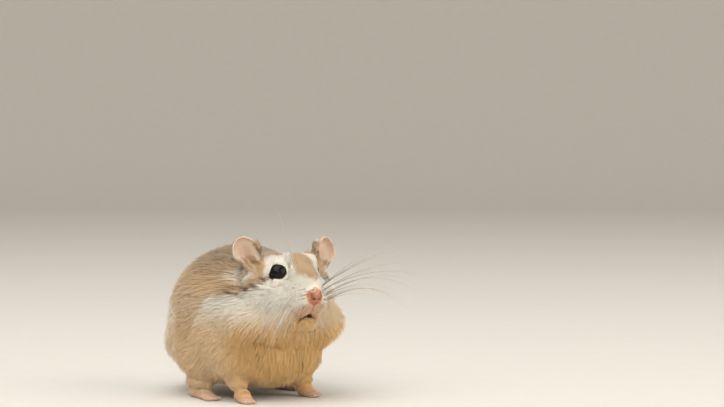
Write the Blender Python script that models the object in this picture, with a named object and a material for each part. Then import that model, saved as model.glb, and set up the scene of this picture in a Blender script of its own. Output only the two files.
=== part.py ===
"""Roborovski dwarf hamster, life size, crouched on all fours with its head a little to its right.

It faces -Y with its left side at +X, and stands on z = 0. The body is laid down as named ellipsoids
that melt into one another, out to the tips of the coat, and is then parted with thin curved cuts.
"""

import math

import bmesh
import bpy
import numpy as np
from mathutils import Matrix, Vector

MM = 0.001
GAP = 0.3                      # between solids that meet
LEFT, RIGHT = 1, -1
SIDES = {"left": LEFT, "right": RIGHT}

# Where the head sits: the point midway between the eyes, and its turn and tilt from straight ahead
EYES_MIDDLE = (-1.1, -14.6, 31.4)
HEAD_TURN = -8.0
HEAD_TILT = 0.0

# Places on the head are measured from the point between the eyes, on the left side
EYE_RADIUS = 2.5
EYE_AT = (4.55, 0.1, -0.25)
NOSE_RADII = (1.8, 1.5, 1.9)
NOSE_AT = (0.0, -8.5, -5.3)

EAR_HALF_WIDTH = 3.3
EAR_HALF_HEIGHT = 4.3
EAR_DEPTH = 2.4
EAR_WALL = 0.6
EAR_NOTCH = 0.35                # share of its half width that the outer edge draws in by, low down
EAR_AT = {LEFT: (11.8, 4.6, 3.9), RIGHT: (-10.5, 5.2, 4.6)}
EAR_OPENS_OUT = {LEFT: 12.0, RIGHT: 27.0}      # degrees from straight ahead
EAR_LEANS_OUT = 22.0
EAR_LEANS_BACK = 12.0

ELBOW_AT = {LEFT: (9.8, -5.6, 10.6), RIGHT: (-12.2, -2.2, 11.2)}
FOREFOOT_AT = {LEFT: (8.2, -8.0), RIGHT: (-10.6, -6.6)}
FOREFOOT_TURN = {LEFT: 8.0, RIGHT: -12.0}
HINDFOOT_AT = {LEFT: (13.0, 5.4), RIGHT: (-13.0, 5.4)}
HINDFOOT_TURN = {LEFT: 12.0, RIGHT: -12.0}
WRIST_HEIGHT = 3.1
ANKLE_HEIGHT = 2.9

# How far neighbouring blobs melt together, and the finest and coarsest facets
HEAD_MELT, TRUNK_MELT, LEG_MELT, FOOT_MELT = 0.9, 1.6, 0.5, 0.22
BODY_MELT = 1.1                # between head, trunk and legs
FACE_FACET, BODY_FACET, FOOT_FACET = 0.9, 1.3, 0.36
TRIANGLES = {"body_fine": 3600, "body": 1850, "forefoot": 230, "hindfoot": 280, "tail": 120}

# The head is parted from the neck, and the neck from the trunk, by ellipsoids round the head
HEAD_CUT = dict(at=(0.0, -1.5, -4.5), radii=(22.0, 12.6, 15.5))
NECK_LENGTH = 4.0

COAT, PALE_COAT, BARE_SKIN, EYE_BLACK = "coat", "pale_coat", "bare_skin", "eye"
FINISHES = {
    COAT: ((0.50, 0.36, 0.22), 0.85),
    PALE_COAT: ((0.74, 0.66, 0.53), 0.85),
    BARE_SKIN: ((0.72, 0.42, 0.34), 0.55),
    EYE_BLACK: ((0.006, 0.005, 0.006), 0.06),
}


# --- the blobs, in millimetres -------------------------------------------------------------------


def pair(at, radii, **turns):
    """A blob on the left and its mirror image on the right."""
    x, y, z = at
    flipped = {name: angle if name == "tip" else -angle for name, angle in turns.items()}
    return [dict(at=at, radii=radii, **turns), dict(at=(-x, y, z), radii=radii, **flipped)]


def head_blobs():
    """The head out to the tips of its coat, measured from the point between the eyes."""
    return [
        dict(at=(0, 5.0, -3.2), radii=(8.6, 7.6, 7.6)),             # back of the skull
        dict(at=(0, 0.4, -1.6), radii=(5.2, 6.0, 5.8)),             # forehead
        dict(at=(0, -4.0, -2.5), radii=(2.9, 4.8, 3.2), tip=-24),   # bridge of the nose
        dict(at=(0, -5.2, -5.2), radii=(3.6, 3.4, 3.5)),            # muzzle
        dict(at=(0, -2.8, -11.0), radii=(3.4, 3.5, 2.5)),           # chin
        dict(at=(0, 1.5, -10.5), radii=(7.2, 6.6, 6.4)),            # throat
        *pair((3.6, -0.2, 2.1), (2.3, 2.9, 2.0)),                   # brows
        *pair((2.6, -5.1, -6.8), (2.6, 2.9, 2.6)),                  # whisker pads
        *pair((6.5, 2.6, -5.7), (5.1, 6.6, 5.2)),                   # cheekbones
        *pair((8.6, 4.6, -12.2), (7.2, 7.2, 6.4)),                  # pouches
        *pair((7.8, 5.0, 1.4), (2.0, 2.2, 2.2)),                    # fur mounds under the ears
    ]


def trunk_blobs():
    """The trunk out to the tips of its coat, measured from the floor."""
    return [
        dict(at=(0, 5.9, 19.6), radii=(16.0, 21.0, 17.2)),          # back
        dict(at=(0, 7.5, 13.6), radii=(15.9, 20.4, 9.3)),           # flanks and rump
        dict(at=(0, -4.0, 12.8), radii=(10.6, 10.8, 9.0)),          # chest
        dict(at=(0, -4.0, 25.0), radii=(9.8, 9.4, 9.6)),            # nape
        *pair((8.6, -4.2, 15.0), (4.8, 6.6, 6.0)),                  # shoulders
    ]


def foreleg_blobs(side):
    elbow = Vector(ELBOW_AT[side])
    wrist = Vector((*FOREFOOT_AT[side], 2.0)) + Vector((0, 1.2, 0))
    blobs = [dict(at=tuple(elbow), radii=(3.2, 4.0, 3.8))]
    steps = 5
    for step in range(1, steps + 1):
        width = 2.4 + (1.6 - 2.4) * step / steps
        blobs.append(dict(at=tuple(elbow.lerp(wrist, step / steps)), radii=(width,) * 3))
    return blobs


def hindleg_blobs(side):
    x, y = HINDFOOT_AT[side]
    return [
        dict(at=(side * 10.6, 6.6, 9.9), radii=(5.2, 8.4, 5.2)),    # thigh and knee
        dict(at=(side * 11.2, 7.8, 5.4), radii=(2.8, 4.4, 3.0)),    # shank
        dict(at=(x, y + 4.0, 2.4), radii=(1.8, 2.4, 2.2)),          # ankle
    ]


def toe_blobs(count, reach, spread, base_y, thick, length):
    """Toes fanned out ahead of a foot, each with its claw, measured from the foot's middle."""
    blobs = []
    for index in range(count):
        across = 2 * index / (count - 1) - 1
        turn = spread * across
        shorter = 1 - 0.16 * abs(across)
        knuckle = dict(reach=0.6 * length, radii=(thick, length, thick), height=0.72 * thick)
        pad = dict(reach=1.25 * length, radii=(0.92 * thick, 0.62 * length, thick), height=0.72 * thick)
        claw = dict(reach=2.15 * length, radii=(0.30, 0.85, 0.34), height=0.55)
        for piece in (knuckle, pad, claw):
            out = (reach + piece["reach"]) * shorter
            x = 1.15 * out * math.sin(math.radians(turn))
            y = base_y - out * math.cos(math.radians(turn))
            blobs.append(dict(at=(x, y, piece["height"]), radii=piece["radii"], turn=turn))
    return blobs


def forefoot_blobs():
    return [
        dict(at=(0, 0.6, 1.7), radii=(1.7, 2.2, 1.9)),
        dict(at=(0, -0.9, 0.9), radii=(1.9, 1.7, 1.1)),
        *toe_blobs(4, reach=0.9, spread=24, base_y=-0.7, thick=0.62, length=1.15),
    ]


def hindfoot_blobs():
    return [
        dict(at=(0, 4.0, 1.4), radii=(1.6, 2.4, 1.9)),
        dict(at=(0, 0.8, 1.1), radii=(1.7, 3.6, 1.3)),
        dict(at=(0, -1.9, 0.9), radii=(2.1, 1.8, 1.05)),
        *toe_blobs(5, reach=1.1, spread=27, base_y=-1.7, thick=0.62, length=1.25),
    ]


def tail_blobs():
    return [
        dict(at=(0, 24.6 + 1.2 * step, 8.6 - 0.8 * step), radii=(1.8 - 0.17 * step,) * 3)
        for step in range(5)
    ]


# --- melting the blobs into one surface ----------------------------------------------------------


def axes_of(blob):
    """The blob's own axes as the rows of a matrix."""
    if "axes" in blob:
        return blob["axes"]
    turn = Matrix.Rotation(math.radians(blob.get("turn", 0.0)), 3, "Z")
    tip = Matrix.Rotation(math.radians(blob.get("tip", 0.0)), 3, "X")
    return np.array((turn @ tip).transposed())


def carried(blobs, place):
    """Blobs moved by a matrix, as from the head's own frame to the body's."""
    back_turn = np.array(place.to_3x3().transposed())
    return [
        dict(at=tuple(place @ Vector(blob["at"])), radii=blob["radii"], axes=axes_of(blob) @ back_turn)
        for blob in blobs
    ]


def melt_together(distances, melt):
    """The least of several distances, with the change from one to the next rounded off."""
    distances = np.array(distances)
    nearest = distances.min(axis=0)
    return nearest - melt * np.log(np.exp(-(distances - nearest) / melt).sum(axis=0))


def depth_outside(points, groups, melt):
    """About how far each point lies outside the melted groups of blobs, in millimetres."""
    group_depths = []
    for blobs, group_melt in groups:
        depths = []
        for blob in blobs:
            radii = np.array(blob["radii"])
            local = (points - np.array(blob["at"])) @ axes_of(blob).T
            scaled = np.linalg.norm(local / radii, axis=1)
            slope = np.linalg.norm(local / radii**2, axis=1)
            depths.append(scaled * (scaled - 1) / np.maximum(slope, 1e-9))
        group_depths.append(melt_together(depths, group_melt))
    return melt_together(group_depths, melt)


def pulled_onto_surface(points, groups, melt, offset):
    """Points moved along the slope of the depth until they lie on the melted surface."""
    step = 0.02
    for _ in range(3):
        depth = depth_outside(points, groups, melt)
        ahead = [depth_outside(points + step * axis, groups, melt) for axis in np.eye(3)]
        slope = (np.stack(ahead, axis=1) - depth[:, None]) / step
        steepness = np.maximum((slope**2).sum(axis=1), 0.05)
        miss = np.clip(depth - offset, -0.8, 0.8)
        points = points - slope * (miss / steepness)[:, None]
    return points


# --- mesh tools ----------------------------------------------------------------------------------


def material(finish):
    """The Principled material of one finish, made once."""
    found = bpy.data.materials.get(finish)
    if found:
        return found
    colour, roughness = FINISHES[finish]
    made = bpy.data.materials.new(finish)
    made.use_nodes = True
    shader = made.node_tree.nodes["Principled BSDF"]
    shader.inputs["Base Color"].default_value = (*colour, 1)
    shader.inputs["Roughness"].default_value = roughness
    shader.inputs["Metallic"].default_value = 0.0
    return made


def object_from(bm, name, finish=None):
    """Puts a finished bmesh into the scene; without a finish it is a hidden helper."""
    mesh = bpy.data.meshes.new(name)
    bm.to_mesh(mesh)
    bm.free()
    made = bpy.data.objects.new(name, mesh)
    bpy.context.scene.collection.objects.link(made)
    if finish:
        mesh.materials.append(material(finish))
    else:
        made.hide_render = True
        made.display_type = "WIRE"
    return made


def copy_of(source, name, finish):
    bm = bmesh.new()
    bm.from_mesh(source.data)
    return object_from(bm, name, finish)


def add_ellipsoid(bm, blob, grow=0.0, subdivisions=3):
    place = Matrix.Translation(Vector(blob["at"]) * MM) @ Matrix(axes_of(blob).T.tolist()).to_4x4()
    size = Matrix.Diagonal([(radius + grow) * MM for radius in blob["radii"]] + [1])
    bmesh.ops.create_icosphere(bm, subdivisions=subdivisions, radius=1.0, matrix=place @ size)


def ellipsoid(name, blob, grow=0.0, subdivisions=3, finish=None):
    bm = bmesh.new()
    add_ellipsoid(bm, blob, grow, subdivisions)
    return object_from(bm, name, finish)


def applied(made):
    """Applies an object's modifiers to its mesh."""
    graph = bpy.context.evaluated_depsgraph_get()
    finished = bpy.data.meshes.new_from_object(made.evaluated_get(graph), depsgraph=graph)
    made.modifiers.clear()
    made.data = finished
    return made


def thinned(made, triangles):
    """Leaves about this many triangles."""
    made.data.calc_loop_triangles()
    decimate = made.modifiers.new("thin", "DECIMATE")
    decimate.ratio = min(1.0, triangles / len(made.data.loop_triangles))
    decimate.use_collapse_triangulate = True
    return applied(made)


def melted(name, groups, melt, facet, triangles, finish=None, offset=0.0):
    """One closed skin over the blobs: their union, evened out and drawn onto the melted surface."""
    bm = bmesh.new()
    for blobs, _ in groups:
        for blob in blobs:
            add_ellipsoid(bm, blob, grow=offset)
    made = object_from(bm, name, finish)
    union = made.modifiers.new("union", "REMESH")
    union.mode = "VOXEL"
    union.voxel_size = facet * MM
    applied(made)
    bm = bmesh.new()
    bm.from_mesh(made.data)
    for _ in range(4):
        bmesh.ops.smooth_vert(
            bm, verts=bm.verts, factor=0.5, use_axis_x=True, use_axis_y=True, use_axis_z=True
        )
        points = np.array([vertex.co for vertex in bm.verts]) / MM
        for vertex, point in zip(bm.verts, pulled_onto_surface(points, groups, melt, offset)):
            vertex.co = Vector(point) * MM
    bmesh.ops.recalc_face_normals(bm, faces=bm.faces)
    bm.to_mesh(made.data)
    bm.free()
    return thinned(made, triangles)


def cut(made, operation, tool):
    """Cuts a piece with a tool, which stays in the scene as a hidden helper."""
    boolean = made.modifiers.new("cut", "BOOLEAN")
    boolean.operation = operation
    boolean.object = tool
    boolean.solver = "EXACT"
    return applied(made)


def sliced(made, height, keep_above):
    """Cuts a piece off flat at a height and closes the cut."""
    bm = bmesh.new()
    bm.from_mesh(made.data)
    result = bmesh.ops.bisect_plane(
        bm,
        geom=bm.verts[:] + bm.edges[:] + bm.faces[:],
        plane_co=(0, 0, height * MM),
        plane_no=(0, 0, 1),
        dist=1e-7,
        clear_inner=keep_above,
        clear_outer=not keep_above,
    )
    rim = [item for item in result["geom_cut"] if isinstance(item, bmesh.types.BMEdge)]
    bmesh.ops.holes_fill(bm, edges=rim, sides=0)
    bmesh.ops.triangulate(bm, faces=bm.faces)
    bmesh.ops.recalc_face_normals(bm, faces=bm.faces)
    bm.to_mesh(made.data)
    bm.free()
    return made


# --- the pieces ----------------------------------------------------------------------------------


def head_frame():
    """Carries the head's own frame to the body's."""
    place = Matrix.Translation(Vector(EYES_MIDDLE))
    turn = Matrix.Rotation(math.radians(HEAD_TURN), 4, "Z")
    return place @ turn @ Matrix.Rotation(math.radians(HEAD_TILT), 4, "X")


def on_head(at, radii):
    return carried([dict(at=at, radii=radii)], head_frame())[0]


def eye_blob(side):
    return on_head((side * EYE_AT[0], EYE_AT[1], EYE_AT[2]), (EYE_RADIUS,) * 3)


def body_groups():
    """The blobs of the head, the trunk and the legs, each group with its own softness."""
    head = carried(head_blobs(), head_frame())
    legs = [blob for side in SIDES.values() for blob in foreleg_blobs(side) + hindleg_blobs(side)]
    return [(head, HEAD_MELT), (trunk_blobs(), TRUNK_MELT), (legs, LEG_MELT)]


def foreleg_region(side):
    elbow_x, elbow_y, _ = ELBOW_AT[side]
    foot_x, foot_y = FOREFOOT_AT[side]
    return dict(at=((elbow_x + foot_x) / 2, (elbow_y + foot_y) / 2, 2.4), radii=(6.0, 5.8, 10.4))


def hindleg_region(side):
    return dict(at=(side * 15.2, 8.0, 3.0), radii=(7.8, 9.2, 11.8))


def make_head(body_fine, head_cut):
    head = cut(copy_of(body_fine, "head", COAT), "INTERSECT", head_cut)
    for held in (eye_blob(LEFT), eye_blob(RIGHT), on_head(NOSE_AT, NOSE_RADII)):
        cut(head, "DIFFERENCE", ellipsoid("socket", held, GAP))


def make_neck(body, head_cut_wide, neck_cut):
    neck = cut(copy_of(body, "neck", COAT), "INTERSECT", neck_cut)
    cut(neck, "DIFFERENCE", head_cut_wide)


def make_trunk(body, neck_cut_wide):
    trunk = cut(copy_of(body, "trunk", COAT), "DIFFERENCE", neck_cut_wide)
    for side in SIDES.values():
        for region in (foreleg_region(side), hindleg_region(side)):
            cut(trunk, "DIFFERENCE", ellipsoid("leg_room", region, GAP))


def make_leg(name, body, region, height, clear_of):
    leg = cut(copy_of(body, name, PALE_COAT), "INTERSECT", ellipsoid("leg_region", region))
    for neighbour in clear_of:
        cut(leg, "DIFFERENCE", neighbour)
    sliced(leg, height + GAP / 2, keep_above=True)


def make_foot(name, blobs, at, turn, height, triangles):
    place = Matrix.Translation((at[0], at[1], 0)) @ Matrix.Rotation(math.radians(turn), 4, "Z")
    groups = [(carried(blobs, place), FOOT_MELT)]
    foot = melted(name, groups, FOOT_MELT, FOOT_FACET, triangles, BARE_SKIN)
    sliced(foot, height - GAP / 2, keep_above=False)
    sliced(foot, 0.0, keep_above=True)


def make_eye(name, side):
    ball = ellipsoid(name, eye_blob(side), finish=EYE_BLACK)
    ball.data.shade_smooth()


def make_nose():
    nose = ellipsoid("nose", on_head(NOSE_AT, NOSE_RADII), finish=BARE_SKIN)
    nose.data.shade_smooth()


def make_tail(body_clear):
    tail = melted("tail", [(tail_blobs(), 0.4)], 0.4, 0.8, TRIANGLES["tail"], PALE_COAT)
    cut(tail, "DIFFERENCE", body_clear)


def make_ear(name, side, body_clear):
    """A thin cup whose two edges curl forwards, narrower at its foot and notched on its outer edge."""
    bm = bmesh.new()
    pole_behind = Matrix.Rotation(math.radians(90), 4, "X")
    bmesh.ops.create_uvsphere(bm, u_segments=18, v_segments=8, radius=1.0, matrix=pole_behind)
    front_half = [vertex for vertex in bm.verts if vertex.co.y < -0.01]
    bmesh.ops.delete(bm, geom=front_half, context="VERTS")
    for vertex in bm.verts:
        x, y, z = vertex.co
        notch = EAR_NOTCH * min(1.0, max(0.0, -0.1 - z) / 0.4) * max(0.0, side * x)
        narrowing = 1 - 0.30 * max(0.0, -z) ** 1.5 - notch
        curl = 0.25 * x * x
        vertex.co = (x * narrowing * EAR_HALF_WIDTH, (y - curl) * EAR_DEPTH, z * EAR_HALF_HEIGHT)
    place = (
        head_frame()
        @ Matrix.Translation(Vector(EAR_AT[side]))
        @ Matrix.Rotation(math.radians(side * EAR_OPENS_OUT[side]), 4, "Z")
        @ Matrix.Rotation(math.radians(side * EAR_LEANS_OUT), 4, "Y")
        @ Matrix.Rotation(math.radians(-EAR_LEANS_BACK), 4, "X")
    )
    bmesh.ops.transform(bm, matrix=Matrix.Scale(MM, 4) @ place, verts=bm.verts)
    ear = object_from(bm, name, BARE_SKIN)
    wall = ear.modifiers.new("wall", "SOLIDIFY")
    wall.thickness = EAR_WALL * MM
    wall.offset = 1.0
    applied(ear)
    cut(ear, "DIFFERENCE", body_clear)
    ear.data.shade_smooth()


def stand_on_floor():
    """Shifts the animal so that its box is centred on the origin and its soles are on z = 0."""
    animal = [made for made in bpy.data.objects if not made.hide_render]
    corners = [vertex.co for made in animal for vertex in made.data.vertices]
    low, high = (Vector(map(pick, zip(*corners))) for pick in (min, max))
    shift = Matrix.Translation((-(low.x + high.x) / 2, -(low.y + high.y) / 2, -low.z))
    for made in bpy.data.objects:
        made.data.transform(shift)


def main():
    for old in list(bpy.data.objects):
        bpy.data.objects.remove(old)

    groups = body_groups()
    body_fine = melted("body_fine", groups, BODY_MELT, FACE_FACET, TRIANGLES["body_fine"])
    body = melted("body", groups, BODY_MELT, BODY_FACET, TRIANGLES["body"])
    body_clear = melted("body_clear", groups, BODY_MELT, BODY_FACET, TRIANGLES["body"], offset=GAP)
    head_region = carried([HEAD_CUT], head_frame())[0]
    head_cut = ellipsoid("head_cut", head_region)
    head_cut_wide = ellipsoid("head_cut_wide", head_region, GAP)
    neck_cut = ellipsoid("neck_cut", head_region, NECK_LENGTH)
    neck_cut_wide = ellipsoid("neck_cut_wide", head_region, NECK_LENGTH + GAP)

    make_head(body_fine, head_cut)
    make_neck(body, head_cut_wide, neck_cut)
    make_trunk(body, neck_cut_wide)
    make_nose()
    make_tail(body_clear)
    for word, side in SIDES.items():
        make_eye("eye_" + word, side)
        make_ear("ear_" + word, side, body_clear)
        make_leg("hindleg_" + word, body, hindleg_region(side), ANKLE_HEIGHT, [neck_cut_wide])
        fore_clear_of = [neck_cut_wide, ellipsoid("hindleg_room", hindleg_region(side), GAP)]
        make_leg("foreleg_" + word, body, foreleg_region(side), WRIST_HEIGHT, fore_clear_of)
        fore = (forefoot_blobs(), FOREFOOT_AT[side], FOREFOOT_TURN[side], WRIST_HEIGHT)
        make_foot("forefoot_" + word, *fore, TRIANGLES["forefoot"])
        hind = (hindfoot_blobs(), HINDFOOT_AT[side], HINDFOOT_TURN[side], ANKLE_HEIGHT)
        make_foot("hindfoot_" + word, *hind, TRIANGLES["hindfoot"])
    stand_on_floor()


main()
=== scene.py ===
import functools
import math

import bmesh
import bpy
import numpy as np
from mathutils import Matrix, Vector
from mathutils.bvhtree import BVHTree
from mathutils.kdtree import KDTree


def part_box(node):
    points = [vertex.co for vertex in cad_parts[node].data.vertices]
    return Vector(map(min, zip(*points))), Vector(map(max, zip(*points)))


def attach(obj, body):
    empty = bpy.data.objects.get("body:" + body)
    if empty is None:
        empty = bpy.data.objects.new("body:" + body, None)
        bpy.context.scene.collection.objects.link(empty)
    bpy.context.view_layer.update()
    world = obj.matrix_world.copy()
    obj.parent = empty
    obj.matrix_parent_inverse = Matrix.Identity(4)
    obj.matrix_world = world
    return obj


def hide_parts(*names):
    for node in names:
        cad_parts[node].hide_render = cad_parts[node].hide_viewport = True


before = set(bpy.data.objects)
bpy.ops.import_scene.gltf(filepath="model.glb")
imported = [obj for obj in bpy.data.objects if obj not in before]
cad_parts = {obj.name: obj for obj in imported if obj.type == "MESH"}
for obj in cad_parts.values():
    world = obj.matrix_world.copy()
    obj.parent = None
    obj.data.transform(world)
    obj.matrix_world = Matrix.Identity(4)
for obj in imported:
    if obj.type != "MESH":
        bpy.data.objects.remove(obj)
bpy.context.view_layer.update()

# Places and sizes below are in millimetres, and become metres when a mesh is made.
mm = 0.001
draws = np.random.default_rng(7)


def unit(vectors):
    lengths = np.linalg.norm(vectors, axis=-1, keepdims=True)
    return vectors / np.maximum(lengths, 1e-9)


def ease(low, high, value):
    # 0 at low, 1 at high, and soft at both ends
    share = np.clip((value - low) / (high - low), 0.0, 1.0)
    return share * share * (3 - 2 * share)


def blend(first, second, share):
    return first + (second - first) * share


def most(*values):
    return functools.reduce(np.maximum, values)


def hump(value, wide):
    # 1 at nought, falling away over its width
    return np.exp(-((value / wide) ** 2))


def ripple(points, size, seed):
    # soft bumps about size across, between -1 and 1
    waves = np.random.default_rng(seed)
    ways = unit(waves.normal(size=(7, 3))) * waves.uniform(0.7, 1.4, (7, 1))
    starts = waves.uniform(0, 2 * math.pi, 7)
    return np.sin(points @ ways.T * (2 * math.pi / size) + starts).sum(axis=1) / 3.2


# Where the head is and how it is turned, from the two eyeballs

def middleOf(node):
    low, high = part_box(node)
    return np.array((low + high) / 2) / mm


sides = {"left": 1, "right": -1}
eyeAt = {side: middleOf("eye_" + side) for side in sides}
eyeRadius = float(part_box("eye_left")[1].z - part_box("eye_left")[0].z) / 2 / mm
headLeft = unit(eyeAt["left"] - eyeAt["right"])
headAxes = np.array((headLeft, np.cross((0.0, 0.0, 1.0), headLeft), (0.0, 0.0, 1.0)))
# the head's own middle, just ahead of the point between the eyes and above it
headAt = (eyeAt["left"] + eyeAt["right"]) / 2 + np.array((0.0, -0.5, 0.35)) @ headAxes
eyeAt["left"] = eyeAt["left"] - 0.6 * headLeft


def inHead(points):
    # across to the animal's left, back and up, from the head's middle
    return (points - headAt) @ headAxes.T


def fromHead(local):
    return np.asarray(local, float) @ headAxes + headAt


def mirrored(at, side):
    return np.array((at[0] * sides[side], at[1], at[2]), float)


def fromEyeball(points, side):
    return np.linalg.norm(points - eyeAt[side], axis=1) - eyeRadius


def placed(name, data):
    thing = bpy.data.objects.new(name, data)
    bpy.context.scene.collection.objects.link(thing)
    return thing


def meshOf(name, bm):
    mesh = bpy.data.meshes.new(name)
    bm.to_mesh(mesh)
    bm.free()
    return mesh


# Camera

cameraLook = dict(azimuth=-42.9, distance=500.0, aside=27.2, height=67.0, tipDown=2.28, lens=101.5)


def makeCamera(look):
    turn = math.radians(look["azimuth"])
    right = Vector((math.cos(turn), math.sin(turn), 0))
    ahead = Vector((-math.sin(turn), math.cos(turn), 0))
    at = right * look["aside"] - ahead * look["distance"] + Vector((0, 0, look["height"]))
    camera = placed("camera", bpy.data.cameras.new("camera"))
    camera.location = at * mm
    camera.rotation_euler = (math.radians(90 - look["tipDown"]), 0, turn)
    camera.data.lens = look["lens"]
    camera.data.clip_start = 0.01
    bpy.context.scene.camera = camera


makeCamera(cameraLook)


# Shader writing

class Wire:
    # a node's output, which sums and products can be written with
    def __init__(self, finish, socket):
        self.finish, self.socket = finish, socket

    def maths(self, operation, first, second):
        return self.finish.make("ShaderNodeMath", {"operation": operation}, {0: first, 1: second})

    def __add__(self, other):
        return self.maths("ADD", self, other)

    def __mul__(self, other):
        return self.maths("MULTIPLY", self, other)

    __radd__ = __add__
    __rmul__ = __mul__


class Finish:
    # one material and its shader, whose unchanging values are set on the shader itself
    def __init__(self, name, **values):
        self.material = bpy.data.materials.new(name)
        self.material.use_nodes = True
        self.tree = self.material.node_tree
        self.shader = self.tree.nodes["Principled BSDF"]
        for socket, value in values.items():
            self.shader.inputs[socket.replace("_", " ")].default_value = value

    def feed(self, socket, value):
        if isinstance(value, Wire):
            self.tree.links.new(value.socket, socket)
        else:
            socket.default_value = value

    def make(self, kind, settings=None, sockets=None, out=0):
        node = self.tree.nodes.new(kind)
        for name, value in (settings or {}).items():
            setattr(node, name, value)
        for socket, value in (sockets or {}).items():
            self.feed(node.inputs[socket], value)
        return Wire(self, node.outputs[out])

    def mix(self, share, first, second, way="MIX"):
        first, second = ((*c, 1.0) if isinstance(c, tuple) else c for c in (first, second))
        settings = {"data_type": "RGBA", "blend_type": way}
        return self.make("ShaderNodeMix", settings, {0: share, 6: first, 7: second}, out=2)

    def noise(self, size, detail, roughness=0.5):
        at = self.make("ShaderNodeTexCoord", out="Object")
        sockets = {"Vector": at, "Scale": 1 / (size * mm), "Detail": detail, "Roughness": roughness}
        return self.make("ShaderNodeTexNoise", {}, sockets)

    def attribute(self, name, out="Fac"):
        return self.make("ShaderNodeAttribute", {"attribute_name": name}, out=out)

    def parts(self, vector):
        return [self.make("ShaderNodeSeparateXYZ", {}, {0: vector}, out=axis) for axis in range(3)]

    def ease(self, low, high, value):
        settings = {"interpolation_type": "SMOOTHSTEP"}
        return self.make("ShaderNodeMapRange", settings, {0: value, 1: low, 2: high})

    def set(self, **wires):
        for socket, wire in wires.items():
            self.feed(self.shader.inputs[socket.replace("_", " ")], wire)

    def bump(self, *layers):
        # each layer is a height, how strong it is and how deep
        normal = None
        for height, strength, depth in layers:
            sockets = {"Height": height, "Strength": strength, "Distance": depth * mm}
            if normal:
                sockets["Normal"] = normal
            normal = self.make("ShaderNodeBump", {}, sockets)
        self.set(Normal=normal)


# Mounds, which stand out of the flesh, and creases, which the coat falls into

def folded(local):
    # the right side laid on the left one
    return np.stack((np.abs(local[:, 0]), local[:, 1], local[:, 2]), axis=1)


def inBlob(local, blob):
    # 1 inside either of a pair of soft ellipsoids
    scaled = (folded(local) - np.array(blob["at"], float)) / np.array(blob["radii"])
    return ease(1.25, 0.75, np.linalg.norm(scaled, axis=1))


moundLook = (
    dict(at=(5.9, 3.0, 5.0), radii=(2.0, 2.2, 1.9), out=0.7),
    dict(at=(4.3, 0.2, 4.4), radii=(2.8, 2.8, 2.0), out=0.3),
    dict(at=(0.0, 5.2, 6.4), radii=(4.2, 3.6, 3.0), out=-0.8),
)
creaseLook = (
    dict(
        line=((-15.0, -14.0, 16.6), (-11.5, -16.6, 15.3), (-8.0, -17.8, 14.0), (-2.6, -18.9, 13.0)),
        deep=1.5, wide=1.2,
    ),
    dict(
        line=((-1.0, -19.9, 14.8), (-0.6, -19.4, 13.2), (0.2, -18.0, 9.6), (1.4, -14.5, 5.0)),
        deep=1.3, wide=0.9,
    ),
)


def creased(points, crease, widened=1.0):
    # 1 in a crease, fading to its sides and ends
    line = np.array(crease["line"], float)
    nearest, place = np.full(len(points), 99.0), np.zeros(len(points))
    for index, (start, end) in enumerate(zip(line, line[1:])):
        run = end - start
        share = np.clip((points - start) @ run / (run @ run), 0, 1)
        away = np.linalg.norm(points - start - share[:, None] * run, axis=1)
        place = np.where(away < nearest, (index + share) / (len(line) - 1), place)
        nearest = np.minimum(nearest, away)
    return hump(nearest, widened * crease["wide"]) * ease(0.0, 0.3, place) * ease(1.0, 0.7, place)


def swellAt(points, far):
    # how far the mounds and creases move the skin outwards
    head = inHead(points)
    out = sum(mound["out"] * inBlob(head, mound) for mound in moundLook)
    out = out * ease(0.4, 1.8, far["eye"]) * ease(0.4, 1.6, far["ear"])
    return out - sum(crease["deep"] * creased(points, crease) for crease in creaseLook)


# The markings, which the skin and the coat share, with painted warm bounce light low down and painted shade
# in the creases

markLook = dict(
    # the edge between sandy and white, as height over distance along the body and along the head
    bodyEdgeAt=(-22.0, -3.1, -0.9, 0.6, 4.4, 8.0, 10.5, 14.0, 20.0, 27.0),
    bodyEdge=(28.0, 25.6, 24.0, 20.6, 13.4, 15.4, 20.5, 22.8, 21.0, 18.0),
    headEdgeAt=(-9.5, -4.5, -1.0, 0.8, 4.0, 10.5, 13.0),
    headEdge=(-1.6, -0.9, -1.7, -3.4, -4.7, -6.1, -7.0),
    wedgeAt=(-8.6, -7.6, -4.8, -2.0, 1.5, 3.5),
    wedge=(0.3, 1.4, 2.7, 2.3, 2.9, 9.0),
    wedgeLeftward=2.0,
    brow=dict(at=(4.7, 0.3, 3.1), radii=(3.0, 4.2, 3.2)),
    behindEar=dict(at=(10.7, 8.2, -1.1), radii=(3.2, 5.0, 2.5)),
    earFront=dict(at=(9.0, 4.4, 5.2), radii=(2.2, 2.4, 3.6)),
    bodyStarts=11.0,
)


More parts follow.
